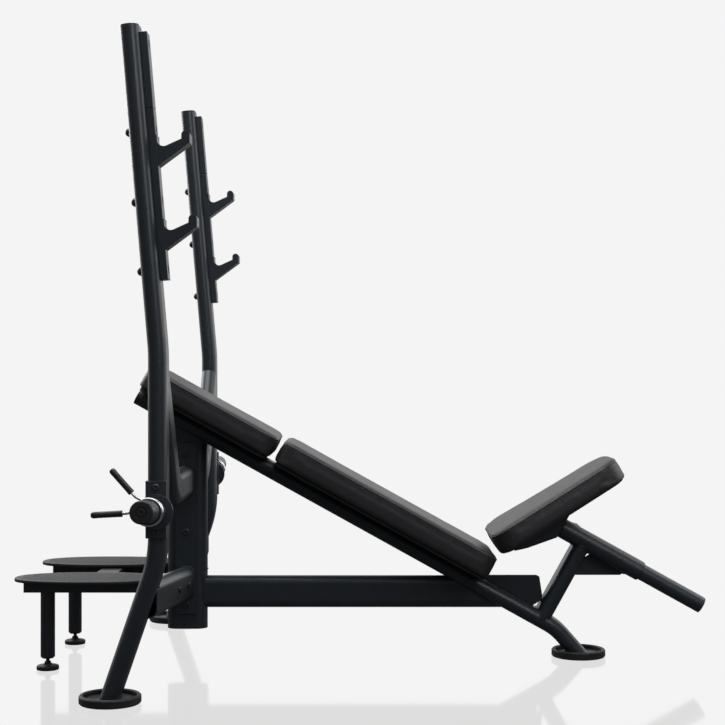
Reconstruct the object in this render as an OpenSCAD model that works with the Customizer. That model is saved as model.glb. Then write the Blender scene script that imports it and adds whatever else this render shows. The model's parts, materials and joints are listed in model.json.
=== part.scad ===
// Olympic incline weight bench: a fixed inclined back rest with a sliding seat, a bar rack on
// two bent uprights, plate storage horns with spring collars, and a rear platform for a spotter.
// Millimetres, +Z up. The origin is on the floor below the middle of the bench.
// The lifter faces +X. "left" is the +Y side and "right" is the -Y side.

/* [Frame tube] */
// Thickness of the flat-oval frame tube
tube_t = 42; // [36:1:48]
// Width of the flat-oval frame tube
tube_w = 84; // [76:1:92]
// Wall of the frame tube
wall = 3; // [2:0.5:4]

/* [Uprights] */
// Distance between the centres of the two uprights
rack_spread = 1128; // [1080:2:1180]
// X of the vertical stretch of the uprights and of the tower
mast_x = -472; // [-480:1:-464]
// Height of the top of the uprights
rack_top = 1527; // [1500:1:1560]
// Height of the upper bend, above which the uprights lean back
lean_bend = 796; // [780:1:810]
// Angle by which the upper stretch leans back
lean = 4.9; // [3:0.1:7]
// Height of the lower bend, below which the legs run back
leg_bend = 330; // [320:1:345]
// Distance that the legs run back from the mast to the feet
leg_setback = 110; // [90:1:125]
// Radius of the upper bend
lean_radius = 500; // [300:10:700]
// Radius of the lower bend
leg_radius = 300; // [200:10:360]

/* [Tower] */
// Length of the tower column's section along X
tower_l = 105; // [98:1:112]
// Width of the tower column's section along Y
tower_w = 56; // [50:1:62]
// Height of the underside of the tower above the floor
tower_foot = 80; // [60:1:100]
// Thickness of the flange plates on the sides of the tower
flange_t = 8; // [6:1:10]
// Height of the centre line of the braces where they meet the tower
brace_low = 465; // [450:1:480]
// Height of the brace centre line at the centre of the upright
brace_high = 740; // [720:1:760]
// Distance of the brace bend from the middle of the bench
brace_bend = 338; // [320:1:350]

/* [Back rest] */
// Incline of the back rest below the horizontal
incline = 29; // [28:0.5:30]
// Length of the upper back pad
upper_pad_l = 384; // [370:1:390]
// Length of the lower back pad
lower_pad_l = 628; // [600:1:630]
// Width of the back pads
back_pad_w = 276; // [250:2:300]
// Thickness of the upper back pad
upper_pad_t = 58; // [50:1:62]
// Thickness of the lower back pad
lower_pad_t = 62; // [56:1:64]
// Gap between the two back pads
pad_gap = 13; // [8:1:18]

/* [Seat] */
// Length of the seat pad
seat_l = 385; // [370:1:390]
// Width of the seat pad at its rear edge, by the back rest
seat_rear_w = 302; // [280:2:320]
// Width of the seat pad at its front edge
seat_front_w = 236; // [210:2:260]
// Thickness of the seat pad with its wrapped rim
seat_t = 60; // [54:1:62]
// Tilt of the seat, rising towards the front
seat_tilt = 31.5; // [30:0.5:33]
// Length of the sleeve that the seat tube slides in
sleeve_l = 231; // [215:1:240]
// Travel of the seat up the incline
seat_travel = 160; // [120:40:160]

/* [Rack] */
// Height of the saddle of the upper pair of bar hooks
upper_saddle = 1254; // [1245:1:1262]
// Height of the saddle of the lower pair of bar hooks
lower_saddle = 1065; // [1056:1:1072]
// Width of the hooks and their rails along Y
hook_w = 45; // [40:1:50]
// Depth of the hook rails in front of the uprights
rail_d = 17; // [16:1:22]

/* [Storage horns] */
// Diameter of the storage horns, for 50 mm plate bores
horn_d = 50; // [48:0.5:50.5]
// Length of a storage horn from its disc to its tip
horn_l = 215; // [200:1:240]
// Upward tilt of the storage horns
horn_tilt = 5; // [3:0.5:7]
// Height of the horn's root
horn_z = 438; // [430:1:446]
// Wire diameter of the spring collars
wire_d = 6.4; // [5.6:0.2:7]

/* [Spotter platform] */
// Length of each deck along X
deck_l = 367; // [340:1:380]
// Width of each deck along Y
deck_w = 184; // [170:1:195]
// Distance of the middle of each deck from the middle of the bench
deck_y = 166; // [155:1:175]
// Height of the top of the decks
deck_top = 232; // [228:1:236]
// Thickness of the decks
deck_t = 9; // [6:1:12]
// X of the middle of the decks
deck_x = -705.5; // [-712:0.5:-700]

/* [Feet] */
// Diameter of the round rubber feet
foot_d = 141; // [130:1:150]
// Height of the rubber rim of the feet
foot_h = 20; // [18:1:24]

/* [Hidden] */
$fn = 64;

powder = "#2f3338";
rubber = "#1c1d1f";
vinyl = "#3a3a3c";
chrome = "#c9ccd0";
plywood = "#24211e";
far = 4000;         // larger than the whole bench, for half spaces

upright_y = rack_spread / 2;
foot_x = mast_x - leg_setback;
plate_z = 4;        // rubber below each foot plate
plate_t = 6;
plate_top = plate_z + plate_t;

// Side path of an upright, from below its foot plate to the top, as [x, z]
lean_l = (rack_top - lean_bend) / cos(lean);
sink = 40;          // tube below a foot plate's top, cut off level
upright_path = [
    [foot_x - sink * leg_setback / (leg_bend - plate_top), plate_top - sink],
    [mast_x, leg_bend],
    [mast_x, lean_bend],
    [mast_x - lean_l * sin(lean), rack_top]
];
upright_radii = [0, leg_radius, lean_radius, 0];

// Incline frame: u runs down the back rail, n stands off it
rail_end = [-598, 684];
post_u = 1207;
bend_u = 1252;
front_foot_x = 559;
sleeve_n = 237.5;
sleeve_u = 1140;
sleeve_t = tube_t + 2 * 4.5;
sleeve_w = tube_w + 2 * 4.5;
liner_gap = 0.3;
seat_tube_u = 1060;
seat_tube_end = 1553;
bracket_t = 3.5;
board_t = 9;
board_n = tube_t / 2 + bracket_t;
pad_n = board_n + board_t;
upper_pad_u = -5;
lower_pad_u = upper_pad_u + upper_pad_l + pad_gap;
function on_rail(u, n) = [
    rail_end[0] + u * cos(incline) + n * sin(incline),
    rail_end[1] - u * sin(incline) + n * cos(incline)
];
rail_foot = [front_foot_x - 3, plate_top];
rail_sink = rail_foot + (rail_foot - on_rail(bend_u, 0)) * sink / norm(rail_foot - on_rail(bend_u, 0));
rail_path = [rail_end, on_rail(bend_u, 0), rail_sink];
rail_radii = [0, 150, 0];
strap_u = [40, 300, 470, 930];
feet = [[foot_x, -upright_y], [foot_x, upright_y], [front_foot_x, 0]];

// Beam, braces and cross tubes
brace_path = [[tower_w / 2 + flange_t, brace_low], [brace_bend, brace_low], [upright_y, brace_high]];
beam_z = 171;
cross_z = 199;
cross_rise = 31;
cross_back = 22;
cross_run = upright_y - tube_w / 2 - tower_w / 2 - flange_t;
cross_bolts = [96, 230];
mount_plate_t = 6;

// Rack hardware, measured up the leaning stretch from its bend
rail_w0 = 160;
rail_gap = 1;
rail_w1 = 548;
rail_w2 = 721;
rack_bolt_w = [184, 341, 500];
cover_bolt_w = 696;
cap_t = 4;
plug_l = 18;
bolt_d = 10;
bore_d = bolt_d + 0.6;
sink_d = 19;        // counterbore for a bolt head in the front of a rail
sink_t = 4.5;
flange_l = 56;
flange_z = [117, 564];
tower_bolt_z = [140, 331, 533];
horn_bolt_z = [392, 492];

// Saddle and tip of a bar hook, from its saddle point
bar_r = 15;
tip_x = 57;
tip_z = 30;
tip_r = 9.5;

// Seat frame: top rear edge of the seat pad, board and bracket below it
seat_corner = [314.8, 329.6];
seat_board_t = 10;
seat_wrap = 8;      // depth of the rim that wraps round the board
board_inset = 12;
seat_plate_t = 4;
seat_stack = seat_t - seat_wrap + seat_board_t;
plate_x = [36, 298]; // stretch of the bracket's plate along the seat
pin_u = 1187;
pin_d = 12;
pin_tip = tube_w / 2 + 0.6;
barrel_l = 26;
hole_pitch = 40;
cheek_t = 4;
cheek_u = sleeve_u - 4.5;
gusset_t = 8;
gusset_z = 214;     // level of the gussets' straight edges

// Storage horn, from the mast outwards
saddle_y = upright_y + tube_w / 2 + 6;
disc_d = 79;
disc_t = 8;
collar_at = 84;
coil_turns = 3;
coil_r = horn_d / 2 + 0.3 + wire_d / 2;
lever_z = collar_at + wire_d * (coil_turns + 0.5) + 0.5;
groove_at = collar_at + (coil_turns + 1) * wire_d + 9;
grip_d = 14.4;
grip_l = 68;
grip_from = 56;
fixed_angle = 132;
lever_angle = 183;

// Platform
leg_x = -804;
leg_y = 179;
leg_d = 36;
deck_beam_x = -861;
deck_link_x = -712;  // tube that ties the two beams together
deck_link_w = 56;
deck_tube_h = 27;
deck_tube_w = 40;
deck_low = deck_top - deck_t - deck_tube_h;
insert_z = 29;
stud_d = 10;
pad_h = 16;

// ---- Outlines and shared shapes ----

// Flat-oval outline, a wide along x and b wide along y
module oval(a, b) {
    d = min(a, b);
    square([a > b ? a - d : a, b > a ? b - d : b], center = true);
    for (s = [-1, 1]) translate([s * (a - d) / 2, s * (b - d) / 2]) circle(d = d);
}

// Wall of a flat-oval tube
module oval_wall(t, w, thick) difference() {
    oval(t, w);
    oval(t - 2 * thick, w - 2 * thick);
}

// Rounded rectangle from x = 0, centred on y
module round_rect(l, w, r) {
    translate([r, -w / 2]) square([l - 2 * r, w]);
    translate([0, -w / 2 + r]) square([l, w - 2 * r]);
    for (x = [r, l - r], y = [-1, 1]) translate([x, y * (w / 2 - r)]) circle(r);
}

function heading(a, b) = atan2(b[1] - a[1], b[0] - a[0]);
function turn(a, b, c) = let (t = heading(b, c) - heading(a, b)) t > 180 ? t - 360 : t < -180 ? t + 360 : t;
function setback(a, b, c, r) = r * tan(abs(turn(a, b, c)) / 2);
function along(h) = [cos(h), sin(h)];

// Sweeps a flat oval along a path of [x, z] points with round bends. The bends are a hair
// slimmer than the straights and reach a little way into them, so that they join cleanly.
module bent_run(path, radii, a, b) {
    last = len(path) - 1;
    slim = 0.2;
    reach = 0.3;
    for (i = [0 : last - 1]) {
        p = path[i];
        q = path[i + 1];
        h = heading(p, q);
        cut_p = i == 0 ? 0 : setback(path[i - 1], p, q, radii[i]);
        cut_q = i == last - 1 ? 0 : setback(p, q, path[i + 2], radii[i + 1]);
        start = p + cut_p * along(h);
        translate([start[0], 0, start[1]]) rotate([0, 90 - h, 0])
            linear_extrude(norm(q - p) - cut_p - cut_q) oval(a, b);
    }
    for (i = [1 : last - 1]) {
        h = heading(path[i - 1], path[i]);
        t = turn(path[i - 1], path[i], path[i + 1]);
        start = path[i] - setback(path[i - 1], path[i], path[i + 1], radii[i]) * along(h);
        middle = start + sign(t) * radii[i] * along(h + 90);
        from = t > 0 ? h - 90 : h + t + 90;
        translate([middle[0], 0, middle[1]]) rotate([90, 0, 0]) rotate([0, 0, from - reach])
            rotate_extrude(angle = abs(t) + 2 * reach) translate([radii[i], 0])
                oval(a - slim, b - slim);
    }
}

// Places its children in the incline frame, the leaning rack frame or the seat frame
module on_incline() translate([rail_end[0], 0, rail_end[1]]) rotate([0, incline, 0]) children();
module on_lean() translate([mast_x, 0, lean_bend]) rotate([0, -lean, 0]) children();
module on_seat() translate([seat_corner[0], 0, seat_corner[1]]) rotate([0, -seat_tilt, 0]) children();

// Places its children on a storage horn, with +Z outwards along the horn
module on_horn(side) translate([mast_x, side * (saddle_y + disc_t), horn_z])
    rotate([-side * (90 - horn_tilt), 0, 0]) children();

// Places its children on a cross tube, with +Z outwards along it and +X to the front
module on_cross(side) translate([mast_x, side * (tower_w / 2 + flange_t), cross_z])
    rotate([-side * (90 - atan(cross_rise / cross_run)), 0, 0])
    rotate([0, -atan(cross_back / cross_run), 0]) children();

// Bolt along z with a low head at each end of its grip
module through_bolt(grip) {
    cylinder(d = bolt_d, h = grip, center = true);
    for (end = [0, 180]) rotate([end, 0, 0]) translate([0, 0, grip / 2]) bolt_head();
}

// Low round bolt head with a hexagon socket, standing on z = 0
module bolt_head(d = 17, h = 5) difference() {
    union() {
        cylinder(d = d, h = h - 1.5);
        translate([0, 0, h - 1.5]) cylinder(d1 = d, d2 = d - 4, h = 1.5);
    }
    translate([0, 0, h - 2.5]) cylinder(d = 8, h = 3, $fn = 6);
}

// Domed plastic nut cap, standing on z = 0
module dome_cap(d = 20, h = 12) {
    cylinder(d = d, h = h - 8);
    translate([0, 0, h - 8]) intersection() {
        translate([0, 0, -2.25]) sphere(d = d + 0.5);
        cylinder(d = d, h = 8);
    }
}

module upright_shape(inset = 0)
    bent_run(upright_path, upright_radii, tube_t - 2 * inset, tube_w - 2 * inset);
module rail_shape(inset = 0) bent_run(rail_path, rail_radii, tube_t - 2 * inset, tube_w - 2 * inset);
module brace_shape(side, inset = 0) translate([mast_x, 0, 0]) rotate([0, 0, side * 90])
    bent_run(brace_path, [0, 120, 0], tube_w - 2 * inset, tube_t - 2 * inset - 0.4);

// The upright stretch and the leg of one upright, as plain solids for fitting other tubes to
module mast_shape(side) translate([mast_x, side * upright_y, leg_bend]) linear_extrude(600)
    oval(tube_t, tube_w);
module leg_shape(side) translate([mast_x, side * upright_y, leg_bend])
    rotate([0, atan(leg_setback / (leg_bend - plate_top)), 0]) translate([0, 0, -leg_bend])
        linear_extrude(leg_bend + 20) oval(tube_t, tube_w);
module tower_shape(z0, z1) translate([mast_x, 0, z0]) linear_extrude(z1 - z0)
    rotate(90) oval(tower_w, tower_l);
module under_rail() on_incline() translate([-far / 2, -far / 2, -tube_t / 2]) cube(far);
module over_seat_plate(rise = 0) on_seat()
    translate([-far / 2, -far / 2, -seat_stack - seat_plate_t + rise]) cube(far);

// ---- Tower and base ----

module tower_bores() for (z = tower_bolt_z)
    translate([mast_x, 0, z]) rotate([90, 0, 0]) cylinder(d = bore_d, h = 200, center = true);

module tower_column() color(powder) difference() {
    tower_shape(tower_foot, 700);
    difference() {
        translate([mast_x, 0, tower_foot - 1]) linear_extrude(600)
            rotate(90) oval(tower_w - 2 * wall, tower_l - 2 * wall);
        on_incline() translate([-far / 2, -far / 2, -tube_t / 2 - wall]) cube(far);
    }
    under_rail();
    tower_bores();
}

module flange(side) color(powder) difference() {
    translate([mast_x - flange_l / 2, side > 0 ? tower_w / 2 : -tower_w / 2 - flange_t, flange_z[0]])
        cube([flange_l, flange_t, flange_z[1] - flange_z[0]]);
    tower_bores();
}

// Bolts through the tower and its flanges, and through each cross tube and the platform's plate
module base_bolts() color(rubber) {
    for (z = tower_bolt_z) translate([mast_x, 0, z]) rotate([90, 0, 0])
        through_bolt(tower_w + 2 * flange_t);
    for (side = [-1, 1], w = cross_bolts) on_cross(side)
        translate([-mount_plate_t / 2, 0, w]) rotate([0, 90, 0]) through_bolt(tube_t + mount_plate_t);
}

module main_beam() color(powder) difference() {
    translate([mast_x, 0, beam_z]) rotate([0, 90, 0]) linear_extrude(1000)
        rotate(90) oval_wall(tube_t, tube_w, wall);
    tower_shape(0, 700);
    under_rail();
}

// ---- Uprights, braces and feet ----

module rack_bores() on_lean() for (w = concat(rack_bolt_w, [cover_bolt_w])) {
    translate([-60, 0, w]) rotate([0, 90, 0]) cylinder(d = bore_d, h = 160);
    translate([tube_t / 2 + rail_d - sink_t, 0, w]) rotate([0, 90, 0]) cylinder(d = sink_d, h = 20);
}

module below_plates() translate([-far / 2, -far / 2, plate_top - far]) cube(far);

module upright(side) color(powder) translate([0, side * upright_y, 0]) difference() {
    upright_shape();
    upright_shape(wall);
    below_plates();
    rack_bores();
    translate([mast_x, 0, 0]) for (z = horn_bolt_z) translate([0, 0, z]) rotate([-side * 90, 0, 0])
        translate([0, 0, 10]) cylinder(d = bore_d, h = 60);
}

// Plug and rim that close a flat-oval tube, standing on z = 0 with the plug below
module tube_cap(t, w) {
    linear_extrude(cap_t) oval(t, w);
    translate([0, 0, -plug_l]) linear_extrude(plug_l) oval(t - 2 * wall, w - 2 * wall);
}

module end_caps() color(rubber) {
    for (side = [-1, 1]) translate([0, side * upright_y, 0]) on_lean()
        translate([0, 0, lean_l]) tube_cap(tube_t, tube_w);
    translate([mast_x, 0, tower_foot]) rotate([180, 0, 0]) rotate(90) tube_cap(tower_w, tower_l);
    on_incline() rotate([0, -90, 0]) tube_cap(tube_t, tube_w);
}

module brace(side) color(powder) difference() {
    brace_shape(side);
    brace_shape(side, wall);
    mast_shape(side);
    translate([-far / 2, side > 0 ? upright_y : -upright_y - far, -far / 2]) cube(far);
}

module cross_tube(side) color(powder) difference() {
    on_cross(side) {
        translate([0, 0, -10]) linear_extrude(cross_run + tube_w) oval_wall(tube_t, tube_w, wall);
    }
    on_cross(side) for (w = cross_bolts) translate([-60, 0, w])
        rotate([0, 90, 0]) cylinder(d = bore_d, h = 120);
    leg_shape(side);
    translate([-far / 2, side > 0 ? upright_y : -upright_y - far, -far / 2]) cube(far);
    translate([-far / 2, side > 0 ? tower_w / 2 + flange_t - far : -tower_w / 2 - flange_t, -far / 2])
        cube(far);
}

module foot_plates() color(powder) for (p = feet) translate([p[0], p[1], plate_z])
    cylinder(d = foot_d - 21, h = plate_t);

module foot_rings() color(rubber) for (p = feet) translate([p[0], p[1], 0]) rotate_extrude()
    polygon([
        [0, 0], [foot_d / 2 - 3, 0], [foot_d / 2, 3], [foot_d / 2, foot_h - 3],
        [foot_d / 2 - 3, foot_h], [foot_d / 2 - 8, foot_h], [foot_d / 2 - 10, foot_h - 2],
        [foot_d / 2 - 10, plate_z], [0, plate_z]
    ]);

// ---- Bar rack ----

module rail_bar(w0, w1) on_lean() translate([tube_t / 2, -hook_w / 2, w0]) cube([rail_d, hook_w, w1 - w0]);

module hook_rail(side) color(powder) translate([0, side * upright_y, 0]) difference() {
    rail_bar(rail_w0, rail_w1 - rail_gap);
    rack_bores();
}

module cover_rails() color(powder) for (side = [-1, 1]) translate([0, side * upright_y, 0]) difference() {
    rail_bar(rail_w1, rail_w2);
    rack_bores();
}

// Side outline of a bar hook about its saddle point, with the rail at the left
module hook_outline() {
    difference() {
        polygon([[-16, -48], [tip_x + tip_r, 13], [tip_x + tip_r, tip_z], [-16, tip_z]]);
        translate([7.5, 19.6]) circle(bar_r);
        polygon([
            [13.5, 5.9], [tip_x - tip_r, 21.4], [tip_x - tip_r, 40], [-7.5, 40], [-7.5, 19.6], [7.5, 19.6]
        ]);
    }
    translate([tip_x, tip_z]) circle(tip_r);
}

// X of the front face of the hook rail at a height
function rail_face(z) = mast_x + (tube_t / 2 + rail_d) / cos(lean) - (z - lean_bend) * tan(lean);

module hook(side, z) color(powder) difference() {
    translate([rail_face(z) + 7.5, side * upright_y, z]) rotate([90, 0, 0])
        linear_extrude(hook_w, center = true) hook_outline();
    translate([0, side * upright_y, 0]) on_lean()
        translate([-60, -hook_w, 0]) cube([60 + tube_t / 2 + rail_d, 2 * hook_w, 900]);
}

// Through bolts with low heads sunk in the front and domed caps at the back
module rack_bolts() color(rubber) for (side = [-1, 1]) translate([0, side * upright_y, 0]) on_lean() {
    front = tube_t / 2 + rail_d - sink_t;
    for (w = concat(rack_bolt_w, [cover_bolt_w])) translate([0, 0, w]) {
        translate([-tube_t / 2, 0, 0]) rotate([0, 90, 0]) cylinder(d = bolt_d, h = tube_t / 2 + front);
        translate([front, 0, 0]) rotate([0, 90, 0]) bolt_head(h = 4);
        if (w < cover_bolt_w) translate([-tube_t / 2, 0, 0]) rotate([0, -90, 0]) dome_cap();
    }
}

// ---- Storage horns and collars ----

module horn_bracket(side) color(powder) {
    difference() {
        translate([mast_x - 23, side > 0 ? upright_y + 22 : -saddle_y, 378])
            cube([46, saddle_y - upright_y - 22, 128]);
        mast_shape(side);
        translate([mast_x, side * upright_y, 0]) for (z = horn_bolt_z) translate([0, 0, z])
            rotate([-side * 90, 0, 0]) cylinder(d = bore_d, h = 80);
    }
    difference() {
        on_horn(side) translate([0, 0, -disc_t - 4]) cylinder(d = disc_d, h = disc_t + 4);
        translate([-far / 2, side > 0 ? saddle_y - far : -saddle_y, -far / 2]) cube(far);
    }
    for (z = horn_bolt_z) translate([mast_x, side * upright_y, z]) rotate([-side * 90, 0, 0])
        translate([0, 0, tube_w / 2 + 6]) horn_bolt();
}

// Bracket bolt whose shank fills its bore through the saddle
module horn_bolt() {
    translate([0, 0, -6]) cylinder(d = bore_d, h = 6);
    bolt_head(d = 16, h = 4);
}

module horn(side) color(powder) on_horn(side) rotate_extrude() polygon([
    [horn_d / 2 - 4, 0], [horn_d / 2, 0],
    [horn_d / 2, groove_at], [horn_d / 2 - 0.8, groove_at + 0.8], [horn_d / 2, groove_at + 1.6],
    [horn_d / 2, horn_l - 4], [horn_d / 2 - 4, horn_l - 4]
]);

module horn_cap(side) color(rubber) on_horn(side) rotate_extrude() polygon([
    [0, horn_l - 22], [horn_d / 2 - 4, horn_l - 22], [horn_d / 2 - 4, horn_l - 4],
    [horn_d / 2 - 0.2, horn_l - 4], [horn_d / 2 - 0.2, horn_l - 2], [horn_d / 2 - 2.2, horn_l],
    [12, horn_l], [11, horn_l - 1.5], [8, horn_l - 1.5], [8, horn_l + 2], [4.5, horn_l + 2],
    [4.5, horn_l - 1], [0, horn_l - 1]
]);

// Places its children at a handle's angle about the horn, seen from the right side, with +X outwards
module at_handle(side, angle, z) on_horn(side) rotate([0, 0, -side * angle])
    translate([0, 0, z]) children();

// Spring wire handle, standing straight out from the coil
module handle_wire() translate([coil_r - 1, 0, 0]) rotate([0, 90, 0])
    cylinder(d = wire_d, h = grip_from - coil_r + 11);

module collar(side) color(chrome) {
    on_horn(side) rotate_extrude() for (i = [0 : coil_turns - 1])
        translate([coil_r, collar_at + wire_d * (i + 0.5)]) circle(d = wire_d + 0.3);
    at_handle(side, fixed_angle, collar_at + wire_d * (coil_turns - 0.5)) handle_wire();
}

module collar_lever(side) color(chrome) {
    on_horn(side) rotate_extrude() translate([coil_r, lever_z]) circle(d = wire_d);
    at_handle(side, lever_angle, lever_z) handle_wire();
}

// Moulded grip over the end of a handle wire
module grip() difference() {
    union() {
        translate([grip_from, 0, 0]) rotate([0, 90, 0]) cylinder(d = grip_d, h = grip_l - 3);
        translate([grip_from + grip_l - 3, 0, 0]) rotate([0, 90, 0])
            cylinder(d1 = grip_d, d2 = grip_d - 4, h = 3);
    }
    rotate([0, 90, 0]) cylinder(d = wire_d, h = grip_from + 10);
}

module collar_grip(side) color(rubber)
    at_handle(side, fixed_angle, collar_at + wire_d * (coil_turns - 0.5)) grip();

module lever_grip(side) color(rubber) at_handle(side, lever_angle, lever_z) grip();

// ---- Back rest ----

module back_rail() color(powder) difference() {
    rail_shape();
    rail_shape(wall);
    below_plates();
}

// Straps across the rail that carry the boards, two under each board
module pad_brackets() color(powder) on_incline() for (u = strap_u)
    translate([u, -95, tube_t / 2]) cube([45, 190, bracket_t]);

module backboard(u, l) color(plywood) on_incline() translate([u + 8, 0, board_n])
    linear_extrude(board_t) round_rect(l - 16, back_pad_w - 22, 22);

module back_pad(u, l, t) color(vinyl) on_incline() translate([u, 0, pad_n])
    linear_extrude(t) round_rect(l, back_pad_w, 30);

// ---- Seat post and sleeve ----

module sleeve_shape() on_incline() translate([sleeve_u, 0, sleeve_n]) rotate([0, 90, 0])
    linear_extrude(sleeve_l) oval(sleeve_t, sleeve_w);

module seat_post() color(powder) difference() {
    on_incline() translate([post_u, 0, 0]) linear_extrude(sleeve_n - 12)
        oval_wall(tube_t, tube_w, wall);
    rail_shape();
    sleeve_shape();
}

// Plates in the corners between the post and the rail, and between the post and the sleeve
module post_gussets() color(powder) difference() {
    rotate([90, 0, 0]) linear_extrude(gusset_t, center = true) {
        front = on_rail(post_u - tube_t / 2 + 2, 150);
        corner = on_rail(post_u - tube_t / 2 - 2, tube_t / 2);
        difference() {
            polygon([
                on_rail(1026, tube_t / 2 - 4), on_rail(1026, 32),
                [on_rail(1026, 32)[0] + 12, gusset_z], [front[0] - 66, gusset_z],
                [front[0] - 58, gusset_z - 4], corner + [16, 30], corner + [8, -6]
            ]);
            translate(corner) rotate(-incline) polygon([[-22, -20], [4, -20], [4, 20], [0, 20]]);
        }
        top = on_rail(post_u + tube_t / 2, sleeve_n - sleeve_t / 2);
        difference() {
            polygon([
                top + [-12, 10], on_rail(1360, sleeve_n - sleeve_t / 2 + 4),
                [on_rail(1352, 0)[0] + 88, gusset_z + 3], [on_rail(1352, 0)[0] + 84, gusset_z],
                [on_rail(post_u, 120)[0] - 8, gusset_z]
            ]);
            translate(top) rotate(-incline) polygon([[22, 20], [-4, 20], [-4, -20], [0, -20]]);
        }
    }
    rail_shape();
    sleeve_shape();
    on_incline() translate([post_u, 0, 0]) linear_extrude(sleeve_n) oval(tube_t, tube_w);
}

module pin_bore(d) on_incline() translate([pin_u, 0, sleeve_n]) rotate([-90, 0, 0])
    cylinder(d = d, h = sleeve_w);

module seat_sleeve() color(powder) difference() {
    on_incline() translate([sleeve_u, 0, sleeve_n]) rotate([0, 90, 0]) linear_extrude(sleeve_l)
        oval_wall(sleeve_t, sleeve_w, 3);
    pin_bore(pin_d + 0.8);
}

// Plastic liner with a lip at each end of the sleeve
module sleeve_liner() color(rubber) difference() {
    on_incline() translate([sleeve_u, 0, sleeve_n]) rotate([0, 90, 0]) {
        linear_extrude(sleeve_l) oval(sleeve_t - 6, sleeve_w - 6);
        for (z = [-3, sleeve_l]) translate([0, 0, z]) linear_extrude(3) oval(sleeve_t - 1, sleeve_w - 1);
    }
    on_incline() translate([sleeve_u - 10, 0, sleeve_n]) rotate([0, 90, 0])
        linear_extrude(sleeve_l + 20) oval(tube_t + 2 * liner_gap, tube_w + 2 * liner_gap);
    pin_bore(pin_d + 0.8);
}

module pin_barrel() color(powder) on_incline() translate([pin_u, 0, sleeve_n]) rotate([-90, 0, 0])
    difference() {
        translate([0, 0, sleeve_w / 2 - 4]) cylinder(d = 24, h = barrel_l + 4);
        cylinder(d = pin_d + 0.8, h = 100);
        barrel_seat();
    }

// The rounded flank of the sleeve, which the barrel is shaped to sit on
module barrel_seat() translate([0, 0, (sleeve_w - sleeve_t) / 2])
    rotate([0, 90, 0]) cylinder(d = sleeve_t, h = 100, center = true);

// Plunger and round pull knob
module pin_knob() color(rubber) on_incline() translate([pin_u, 0, sleeve_n]) rotate([-90, 0, 0]) {
    knob_z = sleeve_w / 2 + barrel_l + 1.5;
    translate([0, 0, pin_tip]) cylinder(d = pin_d, h = knob_z - pin_tip + 4);
    translate([0, 0, knob_z]) rotate_extrude() polygon([
        [0, 0], [14, 0], [23, 5], [27, 12], [27, 20], [24, 25], [0, 27]
    ]);
}

// ---- Seat ----

module seat_tube() color(powder) difference() {
    on_incline() translate([seat_tube_u, 0, sleeve_n]) rotate([0, 90, 0])
        linear_extrude(seat_tube_end - seat_tube_u) oval_wall(tube_t, tube_w, wall);
    over_seat_plate();
    on_incline() for (i = [0 : seat_travel / hole_pitch])
        translate([pin_u + i * hole_pitch, 0, sleeve_n]) rotate([-90, 0, 0])
            cylinder(d = pin_d + 0.8, h = tube_w);
}

module seat_tube_cap() color(rubber) on_incline() translate([seat_tube_end, 0, sleeve_n])
    rotate([0, 90, 0]) tube_cap(tube_t, tube_w);

// Folded bracket: a top plate under the board and two tapered cheeks beside the seat tube
module seat_bracket() color(powder) {
    on_seat() translate([plate_x[0], -tube_w / 2 - cheek_t, -seat_stack - seat_plate_t])
        cube([plate_x[1] - plate_x[0], tube_w + 2 * cheek_t, seat_plate_t]);
    difference() {
        for (side = [-1, 1]) translate([0, side * (tube_w + cheek_t) / 2, 0]) rotate([90, 0, 0])
            linear_extrude(cheek_t, center = true) polygon([
                [376, 280], [420, 290], on_rail(cheek_u, sleeve_n - 27), on_rail(cheek_u, sleeve_n + 90),
                [376, 340]
            ]);
        over_seat_plate(1.5);
        on_seat() translate([-far + plate_x[0] + 1, -far / 2, -far / 2]) cube(far);
    }
}

module seat_outline(inset) hull() for (side = [-1, 1]) {
    translate([60, side * (seat_rear_w / 2 - 60)]) circle(r = 60 - inset, $fn = 32);
    translate([seat_l - 55, side * (seat_front_w / 2 - 55)]) circle(r = 55 - inset, $fn = 32);
}

module seat_board() color(plywood) on_seat() translate([0, 0, -seat_stack])
    linear_extrude(seat_board_t) seat_outline(board_inset);

// The pad's rim wraps round the edge of the board
module seat_pad() color(vinyl) on_seat() translate([0, 0, -seat_t]) difference() {
    linear_extrude(seat_t) seat_outline(0);
    translate([0, 0, -1]) linear_extrude(seat_wrap + 1) seat_outline(board_inset - 0.3);
}

// ---- Spotter platform ----

module deck_frame() color(powder) difference() {
    union() {
        for (side = [-1, 1]) {
            // Beam below the deck, and its leg
            translate([deck_beam_x, side * leg_y - deck_tube_w / 2, deck_low])
                cube([mast_x - 10 - deck_beam_x, deck_tube_w, deck_tube_h]);
            translate([leg_x, side * leg_y, insert_z + 4]) cylinder(d = leg_d, h = deck_low - insert_z - 4);
            translate([leg_x, side * leg_y, insert_z]) cylinder(d1 = leg_d - 8, d2 = leg_d, h = 4);
            // Plate that bolts to the back of the cross tube
            on_cross(side) translate([-tube_t / 2 - mount_plate_t, -34, 46])
                cube([mount_plate_t, 68, 222]);
        }
        translate([deck_link_x, -leg_y + deck_tube_w / 2, deck_low])
            cube([deck_link_w, 2 * leg_y - deck_tube_w, deck_tube_h - 2]);
    }
    for (side = [-1, 1]) {
        on_cross(side) translate([-tube_t / 2, -60, -20]) cube([60, 120, 400]);
        on_cross(side) for (w = cross_bolts) translate([-60, 0, w])
            rotate([0, 90, 0]) cylinder(d = bore_d, h = 120);
        translate([leg_x, side * leg_y, 0]) cylinder(d = stud_d + 0.6, h = insert_z + 56);
    }
}

// Long oval, a little fuller than an ellipse
module deck_outline() {
    fullness = 2 / 2.3;
    polygon([for (a = [0 : 5 : 355]) [
        deck_l / 2 * sign(cos(a)) * pow(abs(cos(a)), fullness),
        deck_w / 2 * sign(sin(a)) * pow(abs(sin(a)), fullness)
    ]]);
}

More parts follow.
